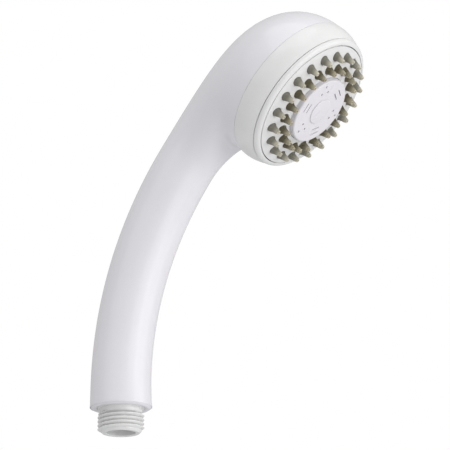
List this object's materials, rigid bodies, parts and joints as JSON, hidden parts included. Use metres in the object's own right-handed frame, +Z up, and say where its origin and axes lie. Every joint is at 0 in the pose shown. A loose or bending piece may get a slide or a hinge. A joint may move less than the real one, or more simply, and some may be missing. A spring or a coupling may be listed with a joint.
{
  "type": "handheld shower head",
  "caption": "Curved white handset with a tilted round spray face of rubber nozzles, a turning spray selector and a threaded hose inlet.",
  "frame": {"origin": "centre of the hose inlet's end face, on the inlet's axis", "axes": "+Z up along the inlet's axis into the handle, -Y the way the spray face looks (and down), X across the handset's plane of symmetry"},
  "size_m": [0.0712, 0.1302, 0.1847],
  "materials": {
    "white_plastic": "glossy white",
    "cool_white_plastic": "satin cool white",
    "nozzle_rubber": "soft olive beige rubber",
    "inner_plastic": "plain moulded grey",
    "regulator_plastic": "plain moulded dark grey",
    "seal_rubber": "black seal rubber",
    "stainless_steel": "bright stainless",
    "brass": "turned brass"
  },
  "bodies": {
    "handset": {"handle_shell": "white_plastic", "head_collar": "white_plastic", "inlet_connector": "white_plastic", "inlet_o_ring": "seal_rubber", "lower_tube_o_ring": "seal_rubber", "flow_regulator": "regulator_plastic", "regulator_o_ring": "seal_rubber", "water_tube": "inner_plastic", "flow_hub": "inner_plastic", "hub_screw_1": "stainless_steel", "hub_screw_2": "stainless_steel", "hub_screw_3": "stainless_steel", "valve_seal": "seal_rubber", "valve_seal_spring": "stainless_steel", "upper_tube_o_ring": "seal_rubber", "pivot_insert": "brass", "pivot_washer": "stainless_steel", "pivot_screw": "stainless_steel", "click_spring": "stainless_steel", "click_spring_screw": "stainless_steel"},
    "spray_selector": {"selector_ring": "white_plastic", "face_plate": "white_plastic", "outer_nozzle_mat": "nozzle_rubber", "inner_nozzle_mat": "nozzle_rubber", "centre_disc": "cool_white_plastic", "centre_cap": "cool_white_plastic", "channel_plate": "inner_plastic", "valve_plate": "inner_plastic"},
    "massage_turbine": {"massage_turbine": "inner_plastic"}
  },
  "joints": [
    {"name": "spray_select", "type": "hinge", "parent": "handset", "child": "spray_selector", "pos_m": [0, -0.09367, 0.14179], "axis": [0, -0.7373, -0.6756], "range_deg": [-60, 60], "deforming": ["click_spring"]},
    {"name": "turbine_spin", "type": "hinge", "parent": "spray_selector", "child": "massage_turbine", "pos_m": [0, -0.09367, 0.14179], "axis": [0, -0.7373, -0.6756], "continuous": true}
  ]
}
